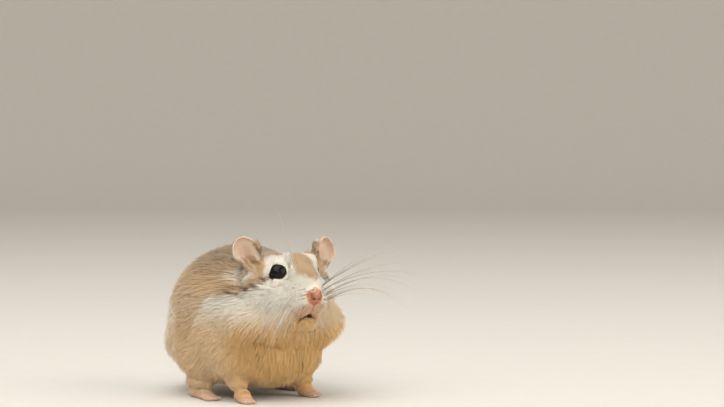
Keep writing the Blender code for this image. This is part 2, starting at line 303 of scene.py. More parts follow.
def marksAt(points):
    # how sandy, how dark (with painted shade in the creases) and how grey the coat is, and how much painted
    # warm bounce light lies on it
    look = markLook
    head = inHead(points)
    ragged = 0.5 * ripple(points * (1, 0.6, 1), 2.6, 1) + 0.35 * ripple(points, 1.1, 2)
    bodyEdge = np.interp(points[:, 1], look["bodyEdgeAt"], look["bodyEdge"])
    bodySandy = ease(-0.8, 0.9, points[:, 2] - bodyEdge + 0.9 * ragged)
    headEdge = np.interp(head[:, 1], look["headEdgeAt"], look["headEdge"])
    wedge = np.interp(head[:, 1], look["wedgeAt"], look["wedge"])
    wedge = wedge * np.where(head[:, 0] > 0, look["wedgeLeftward"], 1.0)
    behindEye = ease(-0.6, 0.9, head[:, 1] - 1.2 + 0.4 * ragged)
    inWedge = ease(0.5, -0.5, np.abs(head[:, 0]) - wedge + 0.3 * ragged)
    above = ease(-0.6, 0.7, head[:, 2] - headEdge + 0.6 * ragged)
    headSandy = above * np.maximum(inWedge, behindEye)
    browWhite = inBlob(head + 0.25 * ragged[:, None], look["brow"])
    headSandy = headSandy * (1 - browWhite)
    for side in sides:
        headSandy = headSandy * ease(0.8, 1.6, fromEyeball(points, side) + 0.3 * ragged)
    onBody = ease(look["bodyStarts"] - 2, look["bodyStarts"] + 3, head[:, 1])
    sandy = blend(headSandy, bodySandy * (1 - 0.22 * ease(31.0, 22.0, points[:, 2])), onBody)
    tuftWhite = inBlob(head, look["behindEar"]) * ease(-0.6, 0.1, ripple(points * (1, 0.3, 1), 1.3, 5))
    sandy = sandy * (1 - 0.92 * tuftWhite)
    streaks = ease(-0.4, 0.4, ripple(points * (1, 0.25, 1), 0.95, 3))
    besideEdge = hump(head[:, 2] - headEdge - 0.7, 1.7)
    dark = most(
        besideEdge * ease(-0.6, 0.8, head[:, 1]) * ease(15.0, 9.0, head[:, 1]) * (0.25 + 0.75 * streaks),
        0.10 * browWhite,
        0.75 * inBlob(head, look["earFront"]) * ease(-0.9, 0.3, ripple(points, 1.2, 4)),
        0.6 * inBlob(head, look["behindEar"]) * (1 - tuftWhite) * streaks,
    )
    grey = most(
        ease(26.5, 35.0, points[:, 2] + 1.5 * ragged) * onBody,
        0.55 * ease(1.0, 7.0, head[:, 1]) * ease(1.0, 4.0, head[:, 2]) * (1 - onBody),
        0.34 * ease(4.0, 1.0, head[:, 1]) * (1 - onBody),
    )
    # painted warm bounce light: a warm tan stands in for light bounced up from below, on the low parts (the
    # front more than the back), under the chin and on the lower left cheek
    forward = 0.72 + 0.28 * ease(-5.0, -13.0, points[:, 1]) - 0.40 * ease(6.0, 18.0, points[:, 1])
    chin = ease(-7.6, -11.5, head[:, 2] + 0.5 * ragged) * ease(8.0, 2.0, np.abs(head[:, 0]))
    paintedWarmBounce = most(
        ease(24.5, 15.0, points[:, 2] + ragged) * forward,
        0.9 * chin * ease(12.0, 6.0, head[:, 1]),
        0.55 * ease(1.5, 5.0, head[:, 0]) * ease(-4.5, -8.5, head[:, 2]) * ease(5.0, 1.0, head[:, 1]),
    )
    # painted shade: the creases under the cheek and down the chest take the painted warm bounce tan and
    # patches of painted shade
    for crease in creaseLook:
        fold = creased(points, crease, 1.7)
        paintedWarmBounce = most(paintedWarmBounce, fold)
        dark = most(dark, 0.45 * fold * ease(-0.6, 0.6, ripple(points * (1, 1, 0.4), 1.0, 6)))
    return np.stack((sandy, np.clip(dark, 0, 1), grey, paintedWarmBounce), axis=1)


# The coat's depth and length, from soft zones on the body and the head: each zone's middle and
# radii, then its depth and length

bodyZones = dict(
    back=((0, 4, 34), (13, 16, 9), 2.7, 5.4),
    rump=((0, 23, 20), (13, 8, 12), 2.8, 5.6),
    flank=((16, 4, 20), (7, 14, 11), 2.5, 5.0),
    haunch=((15, 10, 9), (6, 8, 7), 2.0, 4.4),
    belly=((0, 6, 2), (11, 16, 5), 1.5, 3.6),
    chest=((0, -15, 10), (9, 6, 6), 2.1, 4.4),
    shoulder=((14, -8, 15), (5, 6, 6), 2.1, 4.4),
    forearm=((10, -9, 7), (4, 4, 4), 0.9, 2.2),
)
headZones = dict(
    crown=((0, 4, 4), (6, 4, 3), 1.3, 2.7),
    earTuft=((8.4, 3.0, 4.6), (1.8, 1.8, 2.2), 1.9, 4.2),
    forehead=((0, -1.5, 3.5), (3, 3, 2), 0.9, 1.7),
    bridge=((0, -6, 0), (2.5, 3, 2), 0.55, 1.15),
    muzzle=((1.5, -8, -4), (2.5, 1.6, 2.5), 0.38, 0.75),
    pad=((3.4, -6.4, -6), (1.8, 2.2, 2.2), 0.5, 1.05),
    lip=((0, -7, -9.3), (2.6, 1.6, 1), 0.35, 0.7),
    chin=((0, -5.5, -12), (3.5, 2, 1.8), 1.0, 1.8),
    brow=((4.2, -0.8, 3.3), (2, 2.5, 1.5), 0.7, 1.4),
    cheek=((8, -1.5, -6), (3.5, 4, 4), 1.6, 3.0),
    temple=((10, 3, -1), (3, 3, 3), 1.3, 2.6),
    pouch=((13, 3, -12), (4, 6, 5), 2.2, 4.2),
    throat=((0, -2.5, -16), (8, 3, 3), 2.1, 4.2),
)


def coatFields(points):
    # how deep the coat is and how long its hair, each averaged over the zones nearby
    total = np.full(len(points), 1e-9)
    sums = np.zeros((len(points), 2))
    for zones, local in ((bodyZones, points), (headZones, inHead(points))):
        places = folded(local)
        for at, radii, depth, length in zones.values():
            away = np.linalg.norm((places - np.array(at)) / np.array(radii), axis=1)
            weight = np.exp(-1.6 * away**2) + 1e-7 / (1 + away**2)
            total += weight
            sums += weight[:, None] * np.array((depth, length))
    return (sums / total[:, None]).T


# How far a point is from the CAD's ears, nose, feet and tail

def treeOf(nodes):
    points, faces = [], []
    for node in nodes:
        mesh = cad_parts[node].data
        start = len(points)
        points += [vertex.co / mm for vertex in mesh.vertices]
        faces += [[start + index for index in face.vertices] for face in mesh.polygons]
    return BVHTree.FromPolygons(points, faces)


featureNodes = dict(
    ear=[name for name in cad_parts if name.startswith("ear_")],
    nose=["nose"],
    foot=[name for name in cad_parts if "foot_" in name],
    leg=[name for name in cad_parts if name.startswith(("foreleg_", "hindleg_"))],
    tail=["tail"],
)
featureTrees = {feature: treeOf(nodes) for feature, nodes in featureNodes.items()}


def howFar(points, feature):
    find = featureTrees[feature].find_nearest
    return np.array([find(Vector(point))[3] for point in points.tolist()])


def features(points):
    far = {feature: howFar(points, feature) for feature in featureTrees}
    far["eye"] = np.minimum(*[fromEyeball(points, side) for side in sides])
    return far


# Skin: the flesh melted into one surface, sunk by the depth of the coat

skinLook = dict(voxel=0.36, reach=0.20, bodyRounds=16, sunkRounds=8, lidBall=0.12)
fleshNodes = [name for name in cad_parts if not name.startswith("eye_")]


def pointsOf(mesh):
    points = np.empty(len(mesh.vertices) * 3)
    mesh.vertices.foreach_get("co", points)
    return points.reshape(-1, 3) / mm


def setPoints(mesh, points):
    mesh.vertices.foreach_set("co", (points * mm).ravel())
    mesh.update()


def normalsOf(mesh):
    normals = np.empty(len(mesh.vertices) * 3)
    mesh.vertex_normals.foreach_get("vector", normals)
    return normals.reshape(-1, 3)


def edgesOf(mesh):
    edges = np.empty(len(mesh.edges) * 2, int)
    mesh.edges.foreach_get("vertices", edges)
    return edges.reshape(-1, 2)


def softened(values, edges, rounds, weight=0.5):
    # each value moves towards the middle of its neighbours
    values = values.copy()
    flat = values.ndim == 1
    values = values[:, None] if flat else values
    both = np.concatenate((edges, edges[:, ::-1]))
    neighbours = np.maximum(np.bincount(both[:, 0], minlength=len(values)), 1)[:, None]
    weight = np.broadcast_to(weight, (len(values),))[:, None]
    for _ in range(rounds):
        columns = [np.bincount(both[:, 0], values[both[:, 1], axis], len(values))
                   for axis in range(values.shape[1])]
        values = blend(values, np.stack(columns, axis=1) / neighbours, weight)
    return values[:, 0] if flat else values


# the coat thins out towards these parts: the least share of its depth or length, how near the part
# it gets there, and how far from it the coat is whole
depthNear = dict(
    ear=(0.0, 0.2, 3.0), nose=(0.0, 0.0, 1.6), tail=(0.1, 0.2, 2.4), eye=(0.0, 0.3, 2.6),
    foot=(0.0, 0.2, 2.4),
)
lengthNear = dict(
    eye=(0.24, 0.1, 2.8), nose=(0.38, 0.3, 2.0), ear=(0.30, 0.2, 2.6), foot=(0.30, 0.3, 3.4),
    tail=(0.14, 0.1, 2.6),
)


def lessened(values, look, far):
    for feature, (least, near, whole) in look.items():
        values = values * blend(least, 1.0, ease(near, whole, far[feature]))
    return values


def coatDepth(points, far):
    return lessened(coatFields(points)[0], depthNear, far)


def meltedFlesh(look):
    flesh = bmesh.new()
    for node in fleshNodes:
        part = bmesh.new()
        part.from_mesh(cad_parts[node].data)
        bmesh.ops.remove_doubles(part, verts=part.verts, dist=1e-6)
        part.normal_update()
        for vertex in part.verts:
            vertex.co += vertex.normal * look["reach"] * mm
        grown = meshOf("grown", part)
        flesh.from_mesh(grown)
        bpy.data.meshes.remove(grown)
    for at in eyeAt.values():
        ball = Matrix.Translation(Vector(at) * mm)
        radius = (eyeRadius + look["lidBall"] + look["reach"]) * mm
        bmesh.ops.create_icosphere(flesh, subdivisions=4, radius=radius, matrix=ball)
    whole = placed("flesh", meshOf("flesh", flesh))
    remesh = whole.modifiers.new("melt", "REMESH")
    remesh.mode = "VOXEL"
    remesh.voxel_size = look["voxel"] * mm
    settled = whole.evaluated_get(bpy.context.evaluated_depsgraph_get())
    melted = bpy.data.meshes.new_from_object(settled)
    bpy.data.objects.remove(whole)
    return melted


def sunkSkin(mesh, look):
    points, edges = pointsOf(mesh), edgesOf(mesh)
    far = features(points)
    small = np.minimum(np.minimum(far["ear"], far["foot"]), far["nose"])
    points = softened(points, edges, 2)
    points = softened(points, edges, look["bodyRounds"], 0.5 * ease(0.3, 2.0, small))
    setPoints(mesh, points)
    normals = unit(softened(normalsOf(mesh), edges, 3))
    depth = softened(coatDepth(points, far) - swellAt(points, far), edges, 4)
    points = points - normals * (look["reach"] + depth)[:, None]
    points = softened(points, edges, look["sunkRounds"], 0.5 * ease(0.5, 2.5, np.minimum(small, far["eye"])))
    setPoints(mesh, points)


skinMesh = meltedFlesh(skinLook)
print("melted", len(skinMesh.vertices), "points")
sunkSkin(skinMesh, skinLook)
print("sunk")


# Finer facets round the eyes, nose and mouth, then the folds of these and of the ears

# an eye's along runs from its back corner to its front one, and its corner is the way to the dark
# hair past the back one; ways are those of the left eye, and the right eye's are mirrored
eyeLook = dict(
    gaze=dict(left=(0.93, -0.22, 0.30), right=(0.76, -0.53, 0.37)), along=(-0.61, -0.52, 0.60),
    halfLong=0.89, halfTall=0.70, raised=-0.17, backPinch=0.60,
    open=dict(left=0.84, right=1.0), slope=dict(left=9.0, right=2.6),
    sunk=0.92, rim=0.06, lid=0.26, corner=(0.83, -0.12, -0.54),
)
noseLook = dict(
    at=(0.0, -8.2, -5.4), nostrilAt=(0.66, -9.2, -6.05), nostril=(0.34, 0.26), nostrilDeep=0.7,
    wingAt=1.22, wing=0.24, wingDeep=0.40, wingSpan=(-6.3, -3.9), septum=0.13, septumDeep=0.2,
)
mouthLook = dict(
    top=-6.7, parting=-10.0, philtrum=0.16, philtrumDeep=0.35, halfLong=3.4, drop=0.46,
    slit=0.72, slitDeep=1.9,
    padAt=(2.3, -7.9), pad=(1.7, 1.5), padOut=0.35,
)
earLook = dict(
    at=dict(left=(11.8, 5.0, 3.8), right=(-10.5, 5.6, 4.5)),
    opensOut=dict(left=12.0, right=27.0), leansOut=22.0, leansBack=12.0,
    halfWide=3.3, halfTall=4.3, roll=0.17, pinch=0.25, fringe=dict(left=(-2.4, -1.2), right=(-3.0, -2.3)),
)


def refine(mesh, near, rounds):
    # finer facets near the parts that need them
    for _ in range(rounds):
        bm = bmesh.new()
        bm.from_mesh(mesh)
        chosen = near(pointsOf(mesh))
        edges = [edge for edge in bm.edges if all(chosen[vertex.index] for vertex in edge.verts)]
        bmesh.ops.subdivide_edges(bm, edges=edges, cuts=1, use_grid_fill=True)
        bm.to_mesh(mesh)
        bm.free()
        points = pointsOf(mesh)
        setPoints(mesh, softened(points, edgesOf(mesh), 2, 0.5 * near(points)))


def eyeAxes(side):
    gaze = unit(np.array(eyeLook["gaze"][side]))
    along = np.array(eyeLook["along"])
    along = unit(along - gaze * (along @ gaze))
    up = np.cross(along, gaze)
    return np.array([mirrored(axis, side) for axis in (gaze, along, up)]) @ headAxes


def openingAt(points, side):
    # how far each point lies from the eye's middle, and its share of the way out to the lid's edge
    offsets = points - eyeAt[side]
    away = np.linalg.norm(offsets, axis=1)
    out, along, up = (unit(offsets) @ eyeAxes(side).T).T
    tall = eyeLook["halfTall"] * (1 - eyeLook["backPinch"] * ease(0.1, -0.95, along))
    share = np.hypot(along / eyeLook["halfLong"], (up - eyeLook["raised"]) / tall) / eyeLook["open"][side]
    return away, np.where(out > 0, share, 3.0), offsets


def shapeLids(points):
    # skin in the opening sinks behind the eyeball, and the skin round it slopes down to a low rim
    for side in sides:
        away, share, offsets = openingAt(points, side)
        near = away < eyeRadius + 2.6
        lid = eyeRadius + eyeLook["rim"] + (eyeLook["lid"] - eyeLook["rim"]) * ease(1.0, 1.7, share)
        slope = np.maximum(eyeRadius + eyeLook["rim"] + eyeLook["slope"][side] * (share - 1), lid)
        reached = np.clip(away, lid, slope)
        reached = np.where(share < 1, np.minimum(away, eyeRadius * eyeLook["sunk"]), reached)
        moved = eyeAt[side] + unit(offsets) * reached[:, None]
        points = np.where(near[:, None], moved, points)
    return points


def lipLineAt(across):
    return mouthLook["parting"] - mouthLook["drop"] * np.abs(across) ** 1.15


def wingAt(up):
    # how far out the curved groove beside the nose is
    return noseLook["wingAt"] - 0.10 * (up - noseLook["at"][2]) ** 2


def shapeNoseAndMouth(points):
    # nostrils and the grooves beside them, the groove below the nose, the mouth's slit and the pads
    head = inHead(points)
    x, y, z = head.T
    front = ease(-3.0, -5.0, y)
    push = np.zeros(len(points))
    for side in sides:
        nx, _, nz = mirrored(noseLook["nostrilAt"], side)
        wide, tall = noseLook["nostril"]
        slant = (x - nx) * sides[side]
        share = np.hypot((x - nx) / wide, (z - nz - 0.45 * slant) / tall)
        push += noseLook["nostrilDeep"] * hump(share, 1) * ease(-7.4, -8.2, y)
        low, high = noseLook["wingSpan"]
        wing = hump(x * sides[side] - wingAt(z), noseLook["wing"])
        push += noseLook["wingDeep"] * wing * ease(low - 0.3, low + 0.3, z) * ease(high + 0.5, high - 0.5, z)
    crease = hump(x, noseLook["septum"]) * ease(-5.6, -6.1, z) * ease(-8.4, -7.4, z)
    push += noseLook["septumDeep"] * crease
    look = mouthLook
    groove = hump(x, look["philtrum"]) * ease(look["top"] + 0.3, look["top"] - 0.3, z)
    push += look["philtrumDeep"] * groove * ease(look["parting"] - 0.6, look["parting"], z)
    line = lipLineAt(x)
    slit = look["slit"] * (1 - 0.4 * np.abs(x) / look["halfLong"])
    across = ease(look["halfLong"], 0.6 * look["halfLong"], np.abs(x))
    push += look["slitDeep"] * hump(z - line, slit) * across
    pad = np.hypot((np.abs(x) - look["padAt"][0]) / look["pad"][0], (z - look["padAt"][1]) / look["pad"][1])
    push -= look["padOut"] * hump(pad, 1) * ease(line, line + 0.7, z)
    head[:, 1] += push * front
    return fromHead(head)


def earTurn(side):
    return np.array(
        Matrix.Rotation(math.radians(sides[side] * earLook["opensOut"][side]), 3, "Z")
        @ Matrix.Rotation(math.radians(sides[side] * earLook["leansOut"]), 3, "Y")
        @ Matrix.Rotation(math.radians(-earLook["leansBack"]), 3, "X")
    )


def earLocal(points, side):
    # across, into the cup and up, from the ear's middle
    return (inHead(points) - np.array(earLook["at"][side])) @ earTurn(side)


def shapeEars(points, farFromEar):
    # a rolled rim, a pinched foot behind, a low ridge inside and the way into the head
    for side in sides:
        local = earLocal(points, side)
        across, into, up = local[:, 0] * sides[side], local[:, 1], local[:, 2]
        onEar = ease(0.7, 0.25, farFromEar) * (np.abs(inHead(points)[:, 0] - earLook["at"][side][0]) < 6)
        out = np.hypot(across / earLook["halfWide"], up / earLook["halfTall"])
        roll = ease(0.74, 1.02, out) * ease(-1.6, 0.6, up + 0.8 * across)
        across, up = across * (1 - earLook["roll"] * roll), up * (1 - 0.8 * earLook["roll"] * roll)
        into = into - 0.45 * roll
        pinch = ease(0.0, 1.2, across) * ease(-0.2, -1.9, up)
        across = across * (1 - earLook["pinch"] * pinch)
        ridge = hump(across - 0.5 + 0.25 * up, 0.45) * ease(2.6, 1.2, up) * ease(-2.6, -1.2, up)
        canal = hump(across + 0.4, 0.9) * hump(up + 2.0, 1.1)
        into = into - 0.30 * ridge + 0.7 * canal
        moved = np.stack((across * sides[side], into, up), axis=1)
        back = fromHead(moved @ earTurn(side).T + np.array(earLook["at"][side]))
        points = blend(points, back, onEar[:, None])
    return points


def nearFace(points):
    head = inHead(points)
    nose = np.linalg.norm((head - noseLook["at"]) / (2.6, 2.2, 2.6), axis=1) < 1
    mouth = (np.abs(head[:, 0]) < 3.5) & (head[:, 1] < -4.0) & (np.abs(head[:, 2] + 9.8) < 1.8)
    return (fromEyeball(points, "left") < 0.9) | (fromEyeball(points, "right") < 0.9) | nose | mouth


refine(skinMesh, nearFace, 2)
plainPoints, plainNormals = pointsOf(skinMesh), normalsOf(skinMesh)
skinFar = features(plainPoints)
shaped = shapeEars(shapeLids(plainPoints), skinFar["ear"])
setPoints(skinMesh, shapeNoseAndMouth(shaped))
print("face shaped,", len(skinMesh.vertices), "points")


# Where the skin is bare: 1 on the nose, ears, lids, lips and paws, with the deeper pink of each

def furredEdge(points, farFromEar):
    # the front edge of each ear and the foot of its outer edge, which hair covers
    edge = np.zeros(len(points))
    for side in sides:
        x, _, z = earLocal(points, side).T
        near = (np.abs(x) < 5) & (np.abs(z) < 6) & (farFromEar < 1.2)
        outer, inner = earLook["fringe"][side]
        front = ease(inner, outer, x * sides[side]) * ease(1.6, 0.2, z)
        foot = 0.9 * ease(0.3, 1.2, x * sides[side]) * ease(-1.7, -2.6, z)
        edge = most(edge, front * near, foot * near)
    return edge


def earBack(points, normals, farFromEar):
    # 1 on the back of each ear
    back = np.zeros(len(points))
    for side in sides:
        x, _, _ = earLocal(points, side).T
        facing = (normals @ headAxes.T @ earTurn(side))[:, 1]
        back = most(back, ease(0.1, 0.5, facing) * (np.abs(x) < 5) * ease(1.2, 0.6, farFromEar))
    return back


def bareLids(points, side):
    # how bare and how dark an eye's rim is, with a short dark tail past the right eye's back corner
    away, share, offsets = openingAt(points, side)
    ways, beyond = unit(offsets), away - eyeRadius
    corner = ease(-0.45, -0.85, ways @ eyeAxes(side)[1])
    edge = ease(1.08 + 0.10 * corner, 1.0 + 0.05 * corner, share) * ease(0.9, 0.4, beyond)
    behind = unit(mirrored(eyeLook["corner"], side)) @ headAxes
    tail = ease(0.90, 0.95, ways @ behind) * ease(1.5, 1.0, beyond) * (side == "right")
    return most(edge, ease(0.3, 0.8, tail)), most(ease(0.0, 0.4, edge), ease(0.0, 0.5, tail))


def earTints(points, side, farFromEar, onEar):
    # how flushed an ear's cup is, how pale its rim, and the painted shade that darkens the rim's very edge
    # where it catches the light
    x, y, z = earLocal(points, side).T
    canal = ease(1.7, 0.3, np.hypot(x * sides[side] + 0.4, z + 1.9))
    cup = ease(1.1, 0.4, np.hypot(x / earLook["halfWide"], (z + 1.4) / earLook["halfTall"]))
    inCup = ease(0.9, 0.3, farFromEar) * ease(-0.6, 1.2, y) * (np.abs(x) < 5)
    out = np.hypot(x / earLook["halfWide"], z / earLook["halfTall"])
    rim = ease(0.35, 0.6, out) * ease(0.98, 0.82, out) * ease(-1.8, 0.2, z)
    onThis = onEar * (np.abs(x) < 5)
    return (0.10 * cup + 0.5 * canal) * inCup, rim * onThis, 0.12 * ease(0.84, 1.0, out) * onThis


def bareMouth(points):
    # how bare and flushed the mouth, the groove above it and the nostrils are, and the painted shade in the
    # mouth's slit, the nostrils and the grooves beside the nose
    x, y, z = inHead(points).T
    front = ease(-4.0, -5.0, y)
    line = lipLineAt(x)
    across = ease(mouthLook["halfLong"] + 0.1, mouthLook["halfLong"] - 0.5, np.abs(x))
    slit = ease(0.95, 0.55, np.abs(z - line)) * across * front
    groove = ease(0.36, 0.16, np.abs(x)) * ease(-10.2, -9.8, z) * ease(-6.5, -7.0, z) * front
    lips = np.exp(-(np.hypot((np.abs(x) - 1.8) / 2.3, (z + 8.5) / 1.7) ** 4))
    lips = lips * front * ease(line - 0.3, line, z)
    bare = most(slit, groove)
    # painted shade in the mouth's slit
    dark = 0.5 * slit * ease(0.8, 0.3, np.abs(z - line))
    # painted shade in the nostrils and in the grooves beside the nose
    for side in sides:
        out = x * sides[side] - noseLook["nostrilAt"][0]
        pit = ease(0.42, 0.15, np.hypot(out, (z - noseLook["nostrilAt"][2] - 0.4 * out) * 1.2))
        wing = ease(0.45, 0.1, np.abs(x * sides[side] - wingAt(z)))
        wing = wing * ease(-6.9, -6.2, z) * ease(-3.7, -4.4, z)
        dark = most(dark, most(0.75 * pit, 0.42 * wing) * ease(-7.5, -8.3, y))
    return bare, most(0.9 * bare, 0.62 * lips), dark


forearmFlush = dict(at=(12.6, -10.8, 9.6), radii=(2.6, 2.4, 2.6))


def bareness(points, normals, far):
    # how bare the skin is, how flushed, how dark (the lids, and painted shade in the mouth's slit, the
    # nostrils, the grooves beside the nose and the ears' very edge) and how pale
    fromNose = far["nose"] + 0.12 * ripple(points, 0.8, 21) + 0.3 * ease(-4.8, -3.4, inHead(points)[:, 2])
    onEar = ease(0.9, 0.3, far["ear"]) * (1 - 0.6 * earBack(points, normals, far["ear"]))
    bare, flush, dark = bareMouth(points)
    bare = most(
        bare, ease(0.42, 0.10, fromNose), onEar * (1 - furredEdge(points, far["ear"])),
        ease(1.3, 0.5, far["foot"]) * (1 - 0.65 * ease(1.2, 2.2, points[:, 2])),
        0.7 * ease(0.9, 0.3, far["tail"]) * ease(24.0, 25.5, points[:, 1]),
    )
    flush = most(
        flush, ease(0.75, 0.10, fromNose), 0.15 * inBlob(points, forearmFlush),
        0.4 * ease(1.6, 0.4, far["foot"]),
    )
    pale = np.zeros(len(points))
    for side in sides:
        lid, lidDark = bareLids(points, side)
        cup, rim, rimPaintedShade = earTints(points, side, far["ear"], onEar)
        bare, flush = most(bare, lid), most(flush, cup)
        dark, pale = most(dark, lidDark, rimPaintedShade), most(pale, rim)
    return bare, flush, dark, pale


skinPoints = pointsOf(skinMesh)
skinBare, skinFlush, skinDark, skinPale = bareness(plainPoints, plainNormals, skinFar)


def addAttribute(mesh, name, values):
    colour = np.zeros((len(values), 4))
    colour[:, : values.shape[1]] = values
    layer = mesh.attributes.new(name, "FLOAT_COLOR", "POINT")
    layer.data.foreach_set("color", colour.ravel())


addAttribute(skinMesh, "marks", marksAt(plainPoints))
# the bare skin's third channel holds the lids' dark and the painted shade of the mouth's slit, the nostrils,
# the grooves beside the nose and the ears' very edge
addAttribute(skinMesh, "bare", np.stack((skinBare, skinFlush, skinDark, skinPale), axis=1))


# Colours that the skin and the coat share

coatColours = dict(
    # the second colour is not the fur's own: it is the tan of painted warm bounce light, laid over the white
    # fur low down
    white=(0.86, 0.81, 0.70), paintedBounceTan=(0.77, 0.47, 0.185), sandy=(0.64, 0.43, 0.24),
    greyed=(0.24, 0.185, 0.125), dark=(0.10, 0.065, 0.042), slate=(0.20, 0.17, 0.145),
    flushed=(0.66, 0.36, 0.19),
)


def markedColour(finish):
    # the markings' colour, with painted warm bounce light mixed into the white, and how sandy and how dark
    # they are, the dark holding painted shade in the creases
    marks = finish.attribute("marks", "Color")
    sandy, dark, grey = finish.parts(marks)
    paintedWarmBounce = finish.make("ShaderNodeAttribute", {"attribute_name": "marks"}, out="Alpha")
    look = coatColours
    # white fur turns to the painted bounce tan where the painted warm bounce light lies
    pale = finish.mix(paintedWarmBounce, look["white"], look["paintedBounceTan"])
    tan = finish.mix(grey * 0.75, look["sandy"], look["greyed"])
    return finish.mix(sandy, pale, tan), sandy, dark


def makeSkinFinish():
    finish = Finish("skin", Roughness=0.55, Subsurface_Weight=0.18, Subsurface_Scale=0.0007)
    finish.shader.inputs["Subsurface Radius"].default_value = (1.0, 0.35, 0.25)
    marked, _, _ = markedColour(finish)
    under = finish.mix(0.15, marked, coatColours["slate"])
    bare, flush, lidDarkAndPaintedShade = finish.parts(finish.attribute("bare", "Color"))
    blotch = finish.noise(1.6, 3.0)
    pink = finish.mix(finish.ease(0.3, 0.7, blotch), (0.74, 0.56, 0.43), (0.66, 0.48, 0.36))
    deep = finish.mix(finish.ease(0.35, 0.65, blotch), (0.38, 0.135, 0.072), (0.50, 0.205, 0.112))
    rim = finish.attribute("bare", "Alpha")
    bareColour = finish.mix(flush, finish.mix(rim, pink, (0.78, 0.62, 0.49)), deep)
    colour = finish.mix(finish.ease(0.0, 0.5, bare + flush), under, bareColour)
    # dark lids, and painted shade in the mouth's slit, the nostrils, the grooves beside the nose and the
    # ears' very edge
    finish.set(Base_Color=finish.mix(lidDarkAndPaintedShade, colour, (0.05, 0.018, 0.012)))
    pores = finish.noise(0.16, 3.0, roughness=0.6)
    wrinkles = finish.noise(0.7, 4.0)
    finish.bump((pores, 0.3, 0.04), (wrinkles, 0.15, 0.06))
    finish.set(Roughness=0.42 + 0.25 * pores)
    return finish.material


def makeCoatFinish():
    finish = Finish("coat", Roughness=0.62, Specular_IOR_Level=0.3, Sheen_Weight=0.25, Sheen_Roughness=0.5)
    marked, sandy, dark = markedColour(finish)
    along, chance, tone = finish.parts(finish.attribute("strand", "Color"))
    look = coatColours
    rooted = finish.mix(sandy * 0.45 * finish.ease(0.42, 0.05, along), marked, look["slate"])
    tips = sandy * finish.ease(0.62, 0.95, along) * finish.ease(0.6, 0.95, chance) * 0.35
    tipped = finish.mix(tips, rooted, look["dark"])
    flush = finish.attribute("strand", "Alpha")
    flushed = finish.mix(flush * finish.ease(1.1, 0.2, along), tipped, look["flushed"])
    # the dark marks: dark streaks of the coat, and painted shade in the creases
    darkened = finish.mix(dark * finish.ease(0.1, 0.5, tone), flushed, look["dark"])
    level = 0.90 + 0.08 * tone + 0.12 * chance
    grey = finish.make("ShaderNodeCombineXYZ", {}, {0: level, 1: level, 2: level})
    finish.set(Base_Color=finish.mix(1.0, darkened, grey, "MULTIPLY"))
    return finish.material


skinFinish, coatFinish = makeSkinFinish(), makeCoatFinish()


def addPiece(name, mesh, finish, replaced=()):
    piece = placed(name, mesh)
    mesh.materials.clear()
    mesh.materials.append(finish)
    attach(piece, "root")
    if replaced:
        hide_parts(*replaced)


skinMesh.shade_smooth()
addPiece("skin", skinMesh, skinFinish, fleshNodes)


# Eyeballs

def makeEyeFinish():
    finish = Finish("eyeball", Specular_IOR_Level=0.28, IOR=1.36)
    cloud = finish.noise(1.2, 3.0)
    finish.set(Base_Color=finish.mix(cloud, (0.004, 0.0035, 0.005), (0.012, 0.008, 0.007)))
    finish.set(Roughness=0.03 + 0.06 * cloud)
    return finish.material


eyeFinish = makeEyeFinish()
for side in sides:
    bm = bmesh.new()
    gaze = Vector(eyeAxes(side)[0])
    turn = gaze.to_track_quat("Z", "Y").to_matrix().to_4x4()
    bmesh.ops.create_uvsphere(bm, u_segments=48, v_segments=28, radius=eyeRadius * mm)
    # the clear front stands out a little
    for vertex in bm.verts:
        bulge = max(0.0, vertex.co.z / (eyeRadius * mm) - 0.75) / 0.25
        vertex.co *= 1 + 0.03 * bulge
    bmesh.ops.transform(bm, matrix=Matrix.Translation(Vector(eyeAt[side]) * mm) @ turn, verts=bm.verts)
    ball = meshOf("eyeball_" + side, bm)
    ball.shade_smooth()
    addPiece("eyeball_" + side, ball, eyeFinish, ["eye_" + side])


# Strands: closed and tapering, for tufts, whiskers and claws

def strands(paths, halfWidths, ups, corners, flat=0.6):
    # points, triangles, each corner's place round and along, and outward ways
    count, rings = paths.shape[:2]
    along = unit(np.gradient(paths, axis=1))
    across = unit(np.cross(ups[:, None, :], along))
    over = np.cross(along, across)
    turns = 2 * math.pi * np.arange(corners) / corners + math.pi / 2
    ring = (across[:, :-1, None, :] * np.cos(turns)[:, None]
            + over[:, :-1, None, :] * np.sin(turns)[:, None] * flat)
    body = paths[:, :-1, None, :] + ring * halfWidths[:, :-1, None, None]
    each = corners * (rings - 1) + 1
    points = np.concatenate((body.reshape(count, each - 1, 3), paths[:, -1:, :]), axis=1)
    outward = np.concatenate((ring.reshape(count, each - 1, 3), along[:, -1:, :]), axis=1)
    faces, patches = [], []
    for corner in range(1, corners - 1):
        faces.append((0, corner + 1, corner))
        patches.append(((0.0, -0.3), (0.5, -0.3), (0.25, -0.05)))
    for level in range(rings - 2):
        for corner in range(corners):
            a, b = level * corners + corner, level * corners + (corner + 1) % corners
            c, d = a + corners, b + corners
            u, v = corner / corners, level / (rings - 1)
            uu, vv = u + 1 / corners, v + 1 / (rings - 1)
            faces += [(a, b, d), (a, d, c)]
            patches += [((u, v), (uu, v), (uu, vv)), ((u, v), (uu, vv), (u, vv))]
    last = (rings - 2) * corners
    for corner in range(corners):
        u, v = corner / corners, (rings - 2) / (rings - 1)
        faces.append((last + corner, last + (corner + 1) % corners, each - 1))
        patches.append(((u, v), (u + 1 / corners, v), (u + 0.5 / corners, 1.0)))
    triangles = np.array(faces)[None] + np.arange(count)[:, None, None] * each
    return points, triangles, np.array(patches), outward


